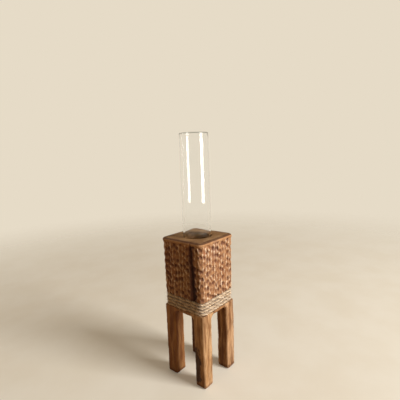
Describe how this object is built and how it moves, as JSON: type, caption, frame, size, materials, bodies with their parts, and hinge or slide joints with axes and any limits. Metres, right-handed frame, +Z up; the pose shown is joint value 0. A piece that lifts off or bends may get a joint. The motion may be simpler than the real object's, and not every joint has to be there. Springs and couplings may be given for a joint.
{
  "type": "test tube vase",
  "caption": "Chiselled wooden block on four square legs, lashed at the waist with twine, holding an upright glass test tube as a bud or propagation vase.",
  "frame": {"origin": "on the floor, in the middle between the four feet", "axes": "+Z up along the tube; the block's faces look along X and Y, and the corner between the -X and -Y faces is the front one"},
  "size_m": [0.0552, 0.0552, 0.2588],
  "materials": {
    "carved_wood": "chiselled and oiled, brown with darker pits",
    "stand_wood": "sawn and sanded, oiled, golden to red brown",
    "dowel_wood": "plain, hidden inside the joint",
    "clear_glass": "clear, polished",
    "jute_twine": "twisted, hairy, matt beige grey"
  },
  "bodies": {
    "stand": {"chiselled_block": "carved_wood", "waist_plate": "stand_wood", "leg_front": "stand_wood", "leg_right": "stand_wood", "leg_back": "stand_wood", "leg_left": "stand_wood", "joint_dowels": "dowel_wood", "twine_wrap": "jute_twine"},
    "tube": {"test_tube": "clear_glass"}
  },
  "joints": [
    {"name": "tube_lift", "type": "slide", "parent": "stand", "child": "tube", "axis": [0, 0, 1], "range_m": [0, 0.06]}
  ]
}
